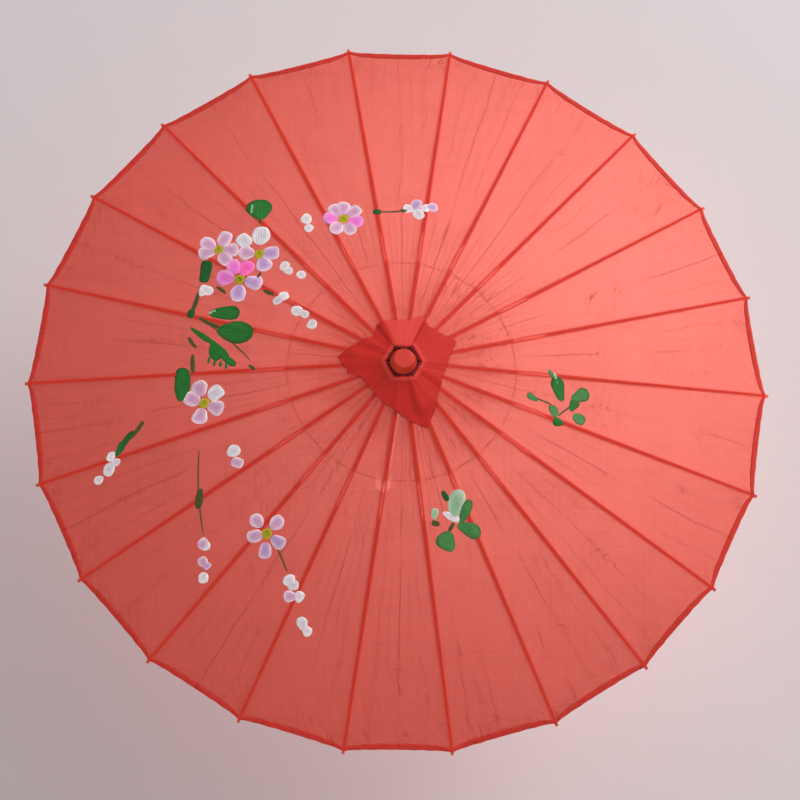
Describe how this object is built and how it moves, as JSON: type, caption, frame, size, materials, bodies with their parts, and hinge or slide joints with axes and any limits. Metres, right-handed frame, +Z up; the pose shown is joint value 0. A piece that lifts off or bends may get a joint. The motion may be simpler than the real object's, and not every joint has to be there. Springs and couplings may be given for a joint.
{
  "type": "parasol",
  "caption": "Open red cloth parasol with a wide shallow scalloped canopy on bamboo ribs, hinged stretchers, a sliding runner and a straight wooden shaft with a turned grip.",
  "frame": {"origin": "middle of the grip's length, on the shaft's axis, where a hand or a holder takes it", "axes": "+Z up the shaft from the grip to the finial; +X along rib 1; the ribs are numbered anticlockwise seen from above"},
  "size_m": [0.8212, 0.8132, 0.5345],
  "materials": {
    "silk_cloth": "thin translucent plain-woven silk or nylon, dyed coral red",
    "hem_cloth": "the same cloth folded double, deeper red",
    "cap_cloth": "thicker opaque cloth, crimson",
    "thread": "waxed dark red thread",
    "bamboo": "split bamboo, stained red, satin",
    "shaft_wood": "straight round hardwood rod, satin varnish",
    "grip_wood": "turned hardwood, satin varnish",
    "turned_wood": "turned hardwood, stained dark red, dull",
    "red_lacquer": "turned wood with orange-red lacquer",
    "steel_wire": "drawn steel wire",
    "spring_steel": "bent spring strip"
  },
  "bodies": {
    "root": {"shaft": "shaft_wood", "grip": "grip_wood", "finial": "red_lacquer", "head_hub": "turned_wood", "head_wire": "steel_wire", "stop_pin": "bamboo", "catch_pin": "steel_wire", "canopy": "silk_cloth", "rim_hem": "hem_cloth", "cap_cover": "cap_cloth", "joint_thread": "thread"},
    "catch": {"catch": "spring_steel"},
    "runner": {"runner": "turned_wood", "runner_wire": "steel_wire"},
    "rib_01": {"rib_01": "bamboo"},
    "rib_02": {"rib_02": "bamboo"},
    "rib_03": {"rib_03": "bamboo"},
    "rib_04": {"rib_04": "bamboo"},
    "rib_05": {"rib_05": "bamboo"},
    "rib_06": {"rib_06": "bamboo"},
    "rib_07": {"rib_07": "bamboo"},
    "rib_08": {"rib_08": "bamboo"},
    "rib_09": {"rib_09": "bamboo"},
    "rib_10": {"rib_10": "bamboo"},
    "rib_11": {"rib_11": "bamboo"},
    "rib_12": {"rib_12": "bamboo"},
    "rib_13": {"rib_13": "bamboo"},
    "rib_14": {"rib_14": "bamboo"},
    "rib_15": {"rib_15": "bamboo"},
    "rib_16": {"rib_16": "bamboo"},
    "rib_17": {"rib_17": "bamboo"},
    "rib_18": {"rib_18": "bamboo"},
    "rib_19": {"rib_19": "bamboo"},
    "rib_20": {"rib_20": "bamboo"},
    "rib_21": {"rib_21": "bamboo"},
    "rib_22": {"rib_22": "bamboo"},
    "stretcher_01": {"stretcher_01": "bamboo"},
    "stretcher_02": {"stretcher_02": "bamboo"},
    "stretcher_03": {"stretcher_03": "bamboo"},
    "stretcher_04": {"stretcher_04": "bamboo"},
    "stretcher_05": {"stretcher_05": "bamboo"},
    "stretcher_06": {"stretcher_06": "bamboo"},
    "stretcher_07": {"stretcher_07": "bamboo"},
    "stretcher_08": {"stretcher_08": "bamboo"},
    "stretcher_09": {"stretcher_09": "bamboo"},
    "stretcher_10": {"stretcher_10": "bamboo"},
    "stretcher_11": {"stretcher_11": "bamboo"},
    "stretcher_12": {"stretcher_12": "bamboo"},
    "stretcher_13": {"stretcher_13": "bamboo"},
    "stretcher_14": {"stretcher_14": "bamboo"},
    "stretcher_15": {"stretcher_15": "bamboo"},
    "stretcher_16": {"stretcher_16": "bamboo"},
    "stretcher_17": {"stretcher_17": "bamboo"},
    "stretcher_18": {"stretcher_18": "bamboo"},
    "stretcher_19": {"stretcher_19": "bamboo"},
    "stretcher_20": {"stretcher_20": "bamboo"},
    "stretcher_21": {"stretcher_21": "bamboo"},
    "stretcher_22": {"stretcher_22": "bamboo"}
  },
  "joints": [
    {"name": "canopy_fold", "type": "hinge", "parent": "root", "child": "rib_01", "pos_m": [0.015, 0, 0.47], "axis": [0, 1, 0], "range_deg": [0, 72], "deforming": ["canopy", "rim_hem", "cap_cover", "joint_thread"]},
    {"name": "rib_02_hinge", "type": "hinge", "parent": "root", "child": "rib_02", "pos_m": [0.01439, 0.00423, 0.47], "axis": [-0.2817, 0.9595, 0], "range_deg": [0, 72]},
    {"name": "rib_03_hinge", "type": "hinge", "parent": "root", "child": "rib_03", "pos_m": [0.01262, 0.00811, 0.47], "axis": [-0.5406, 0.8413, 0], "range_deg": [0, 72]},
    {"name": "rib_04_hinge", "type": "hinge", "parent": "root", "child": "rib_04", "pos_m": [0.00982, 0.01134, 0.47], "axis": [-0.7557, 0.6549, 0], "range_deg": [0, 72]},
    {"name": "rib_05_hinge", "type": "hinge", "parent": "root", "child": "rib_05", "pos_m": [0.00623, 0.01364, 0.47], "axis": [-0.9096, 0.4154, 0], "range_deg": [0, 72]},
    {"name": "rib_06_hinge", "type": "hinge", "parent": "root", "child": "rib_06", "pos_m": [0.00213, 0.01485, 0.47], "axis": [-0.9898, 0.1423, 0], "range_deg": [0, 72]},
    {"name": "rib_07_hinge", "type": "hinge", "parent": "root", "child": "rib_07", "pos_m": [-0.00213, 0.01485, 0.47], "axis": [-0.9898, -0.1423, 0], "range_deg": [0, 72]},
    {"name": "rib_08_hinge", "type": "hinge", "parent": "root", "child": "rib_08", "pos_m": [-0.00623, 0.01364, 0.47], "axis": [-0.9096, -0.4154, 0], "range_deg": [0, 72]},
    {"name": "rib_09_hinge", "type": "hinge", "parent": "root", "child": "rib_09", "pos_m": [-0.00982, 0.01134, 0.47], "axis": [-0.7557, -0.6549, 0], "range_deg": [0, 72]},
    {"name": "rib_10_hinge", "type": "hinge", "parent": "root", "child": "rib_10", "pos_m": [-0.01262, 0.00811, 0.47], "axis": [-0.5406, -0.8413, 0], "range_deg": [0, 72]},
    {"name": "rib_11_hinge", "type": "hinge", "parent": "root", "child": "rib_11", "pos_m": [-0.01439, 0.00423, 0.47], "axis": [-0.2817, -0.9595, 0], "range_deg": [0, 72]},
    {"name": "rib_12_hinge", "type": "hinge", "parent": "root", "child": "rib_12", "pos_m": [-0.015, 0, 0.47], "axis": [0, -1, 0], "range_deg": [0, 72]},
    {"name": "rib_13_hinge", "type": "hinge", "parent": "root", "child": "rib_13", "pos_m": [-0.01439, -0.00423, 0.47], "axis": [0.2817, -0.9595, 0], "range_deg": [0, 72]},
    {"name": "rib_14_hinge", "type": "hinge", "parent": "root", "child": "rib_14", "pos_m": [-0.01262, -0.00811, 0.47], "axis": [0.5406, -0.8413, 0], "range_deg": [0, 72]},
    {"name": "rib_15_hinge", "type": "hinge", "parent": "root", "child": "rib_15", "pos_m": [-0.00982, -0.01134, 0.47], "axis": [0.7557, -0.6549, 0], "range_deg": [0, 72]},
    {"name": "rib_16_hinge", "type": "hinge", "parent": "root", "child": "rib_16", "pos_m": [-0.00623, -0.01364, 0.47], "axis": [0.9096, -0.4154, 0], "range_deg": [0, 72]},
    {"name": "rib_17_hinge", "type": "hinge", "parent": "root", "child": "rib_17", "pos_m": [-0.00213, -0.01485, 0.47], "axis": [0.9898, -0.1423, 0], "range_deg": [0, 72]},
    {"name": "rib_18_hinge", "type": "hinge", "parent": "root", "child": "rib_18", "pos_m": [0.00213, -0.01485, 0.47], "axis": [0.9898, 0.1423, 0], "range_deg": [0, 72]},
    {"name": "rib_19_hinge", "type": "hinge", "parent": "root", "child": "rib_19", "pos_m": [0.00623, -0.01364, 0.47], "axis": [0.9096, 0.4154, 0], "range_deg": [0, 72]},
    {"name": "rib_20_hinge", "type": "hinge", "parent": "root", "child": "rib_20", "pos_m": [0.00982, -0.01134, 0.47], "axis": [0.7557, 0.6549, 0], "range_deg": [0, 72]},
    {"name": "rib_21_hinge", "type": "hinge", "parent": "root", "child": "rib_21", "pos_m": [0.01262, -0.00811, 0.47], "axis": [0.5406, 0.8413, 0], "range_deg": [0, 72]},
    {"name": "rib_22_hinge", "type": "hinge", "parent": "root", "child": "rib_22", "pos_m": [0.01439, -0.00423, 0.47], "axis": [0.2817, 0.9595, 0], "range_deg": [0, 72]},
    {"name": "stretcher_01_hinge", "type": "hinge", "parent": "rib_01", "child": "stretcher_01", "pos_m": [0.12464, 0, 0.44266], "axis": [0, 1, 0], "range_deg": [-144, 0]},
    {"name": "stretcher_02_hinge", "type": "hinge", "parent": "rib_02", "child": "stretcher_02", "pos_m": [0.11959, 0.03512, 0.44266], "axis": [-0.2817, 0.9595, 0], "range_deg": [-144, 0]},
    {"name": "stretcher_03_hinge", "type": "hinge", "parent": "rib_03", "child": "stretcher_03", "pos_m": [0.10486, 0.06739, 0.44266], "axis": [-0.5406, 0.8413, 0], "range_deg": [-144, 0]},
    {"name": "stretcher_04_hinge", "type": "hinge", "parent": "rib_04", "child": "stretcher_04", "pos_m": [0.08162, 0.0942, 0.44266], "axis": [-0.7557, 0.6549, 0], "range_deg": [-144, 0]},
    {"name": "stretcher_05_hinge", "type": "hinge", "parent": "rib_05", "child": "stretcher_05", "pos_m": [0.05178, 0.11338, 0.44266], "axis": [-0.9096, 0.4154, 0], "range_deg": [-144, 0]},
    {"name": "stretcher_06_hinge", "type": "hinge", "parent": "rib_06", "child": "stretcher_06", "pos_m": [0.01774, 0.12337, 0.44266], "axis": [-0.9898, 0.1423, 0], "range_deg": [-144, 0]},
    {"name": "stretcher_07_hinge", "type": "hinge", "parent": "rib_07", "child": "stretcher_07", "pos_m": [-0.01774, 0.12337, 0.44266], "axis": [-0.9898, -0.1423, 0], "range_deg": [-144, 0]},
    {"name": "stretcher_08_hinge", "type": "hinge", "parent": "rib_08", "child": "stretcher_08", "pos_m": [-0.05178, 0.11338, 0.44266], "axis": [-0.9096, -0.4154, 0], "range_deg": [-144, 0]},
    {"name": "stretcher_09_hinge", "type": "hinge", "parent": "rib_09", "child": "stretcher_09", "pos_m": [-0.08162, 0.0942, 0.44266], "axis": [-0.7557, -0.6549, 0], "range_deg": [-144, 0]},
    {"name": "stretcher_10_hinge", "type": "hinge", "parent": "rib_10", "child": "stretcher_10", "pos_m": [-0.10486, 0.06739, 0.44266], "axis": [-0.5406, -0.8413, 0], "range_deg": [-144, 0]},
    {"name": "stretcher_11_hinge", "type": "hinge", "parent": "rib_11", "child": "stretcher_11", "pos_m": [-0.11959, 0.03512, 0.44266], "axis": [-0.2817, -0.9595, 0], "range_deg": [-144, 0]},
    {"name": "stretcher_12_hinge", "type": "hinge", "parent": "rib_12", "child": "stretcher_12", "pos_m": [-0.12464, 0, 0.44266], "axis": [0, -1, 0], "range_deg": [-144, 0]},
    {"name": "stretcher_13_hinge", "type": "hinge", "parent": "rib_13", "child": "stretcher_13", "pos_m": [-0.11959, -0.03512, 0.44266], "axis": [0.2817, -0.9595, 0], "range_deg": [-144, 0]},
    {"name": "stretcher_14_hinge", "type": "hinge", "parent": "rib_14", "child": "stretcher_14", "pos_m": [-0.10486, -0.06739, 0.44266], "axis": [0.5406, -0.8413, 0], "range_deg": [-144, 0]},
    {"name": "stretcher_15_hinge", "type": "hinge", "parent": "rib_15", "child": "stretcher_15", "pos_m": [-0.08162, -0.0942, 0.44266], "axis": [0.7557, -0.6549, 0], "range_deg": [-144, 0]},
    {"name": "stretcher_16_hinge", "type": "hinge", "parent": "rib_16", "child": "stretcher_16", "pos_m": [-0.05178, -0.11338, 0.44266], "axis": [0.9096, -0.4154, 0], "range_deg": [-144, 0]},
    {"name": "stretcher_17_hinge", "type": "hinge", "parent": "rib_17", "child": "stretcher_17", "pos_m": [-0.01774, -0.12337, 0.44266], "axis": [0.9898, -0.1423, 0], "range_deg": [-144, 0]},
    {"name": "stretcher_18_hinge", "type": "hinge", "parent": "rib_18", "child": "stretcher_18", "pos_m": [0.01774, -0.12337, 0.44266], "axis": [0.9898, 0.1423, 0], "range_deg": [-144, 0]},
    {"name": "stretcher_19_hinge", "type": "hinge", "parent": "rib_19", "child": "stretcher_19", "pos_m": [0.05178, -0.11338, 0.44266], "axis": [0.9096, 0.4154, 0], "range_deg": [-144, 0]},
    {"name": "stretcher_20_hinge", "type": "hinge", "parent": "rib_20", "child": "stretcher_20", "pos_m": [0.08162, -0.0942, 0.44266], "axis": [0.7557, 0.6549, 0], "range_deg": [-144, 0]},
    {"name": "stretcher_21_hinge", "type": "hinge", "parent": "rib_21", "child": "stretcher_21", "pos_m": [0.10486, -0.06739, 0.44266], "axis": [0.5406, 0.8413, 0], "range_deg": [-144, 0]},
    {"name": "stretcher_22_hinge", "type": "hinge", "parent": "rib_22", "child": "stretcher_22", "pos_m": [0.11959, -0.03512, 0.44266], "axis": [0.2817, 0.9595, 0], "range_deg": [-144, 0]},
    {"name": "runner_hinge", "type": "hinge", "parent": "stretcher_01", "child": "runner", "pos_m": [0.015, 0, 0.41533], "axis": [0, 1, 0], "range_deg": [0, 72]},
    {"name": "catch_spring", "type": "hinge", "parent": "root", "child": "catch", "pos_m": [0, 0, 0.34653], "axis": [0, 1, 0], "range_deg": [0, 7], "stiffness_Nm_per_rad": 0.3, "springref_deg": 7}
  ],
  "couplings": [
    {"joint": "rib_02_hinge", "follows": "canopy_fold", "ratio": 1},
    {"joint": "rib_03_hinge", "follows": "canopy_fold", "ratio": 1},
    {"joint": "rib_04_hinge", "follows": "canopy_fold", "ratio": 1},
    {"joint": "rib_05_hinge", "follows": "canopy_fold", "ratio": 1},
    {"joint": "rib_06_hinge", "follows": "canopy_fold", "ratio": 1},
    {"joint": "rib_07_hinge", "follows": "canopy_fold", "ratio": 1},
    {"joint": "rib_08_hinge", "follows": "canopy_fold", "ratio": 1},
    {"joint": "rib_09_hinge", "follows": "canopy_fold", "ratio": 1},
    {"joint": "rib_10_hinge", "follows": "canopy_fold", "ratio": 1},
    {"joint": "rib_11_hinge", "follows": "canopy_fold", "ratio": 1},
    {"joint": "rib_12_hinge", "follows": "canopy_fold", "ratio": 1},
    {"joint": "rib_13_hinge", "follows": "canopy_fold", "ratio": 1},
    {"joint": "rib_14_hinge", "follows": "canopy_fold", "ratio": 1},
    {"joint": "rib_15_hinge", "follows": "canopy_fold", "ratio": 1},
    {"joint": "rib_16_hinge", "follows": "canopy_fold", "ratio": 1},
    {"joint": "rib_17_hinge", "follows": "canopy_fold", "ratio": 1},
    {"joint": "rib_18_hinge", "follows": "canopy_fold", "ratio": 1},
    {"joint": "rib_19_hinge", "follows": "canopy_fold", "ratio": 1},
    {"joint": "rib_20_hinge", "follows": "canopy_fold", "ratio": 1},
    {"joint": "rib_21_hinge", "follows": "canopy_fold", "ratio": 1},
    {"joint": "rib_22_hinge", "follows": "canopy_fold", "ratio": 1},
    {"joint": "stretcher_01_hinge", "follows": "canopy_fold", "ratio": -2},
    {"joint": "stretcher_02_hinge", "follows": "canopy_fold", "ratio": -2},
    {"joint": "stretcher_03_hinge", "follows": "canopy_fold", "ratio": -2},
    {"joint": "stretcher_04_hinge", "follows": "canopy_fold", "ratio": -2},
    {"joint": "stretcher_05_hinge", "follows": "canopy_fold", "ratio": -2},
    {"joint": "stretcher_06_hinge", "follows": "canopy_fold", "ratio": -2},
    {"joint": "stretcher_07_hinge", "follows": "canopy_fold", "ratio": -2},
    {"joint": "stretcher_08_hinge", "follows": "canopy_fold", "ratio": -2},
    {"joint": "stretcher_09_hinge", "follows": "canopy_fold", "ratio": -2},
    {"joint": "stretcher_10_hinge", "follows": "canopy_fold", "ratio": -2},
    {"joint": "stretcher_11_hinge", "follows": "canopy_fold", "ratio": -2},
    {"joint": "stretcher_12_hinge", "follows": "canopy_fold", "ratio": -2},
    {"joint": "stretcher_13_hinge", "follows": "canopy_fold", "ratio": -2},
    {"joint": "stretcher_14_hinge", "follows": "canopy_fold", "ratio": -2},
    {"joint": "stretcher_15_hinge", "follows": "canopy_fold", "ratio": -2},
    {"joint": "stretcher_16_hinge", "follows": "canopy_fold", "ratio": -2},
    {"joint": "stretcher_17_hinge", "follows": "canopy_fold", "ratio": -2},
    {"joint": "stretcher_18_hinge", "follows": "canopy_fold", "ratio": -2},
    {"joint": "stretcher_19_hinge", "follows": "canopy_fold", "ratio": -2},
    {"joint": "stretcher_20_hinge", "follows": "canopy_fold", "ratio": -2},
    {"joint": "stretcher_21_hinge", "follows": "canopy_fold", "ratio": -2},
    {"joint": "stretcher_22_hinge", "follows": "canopy_fold", "ratio": -2},
    {"joint": "runner_hinge", "follows": "canopy_fold", "ratio": 1}
  ]
}
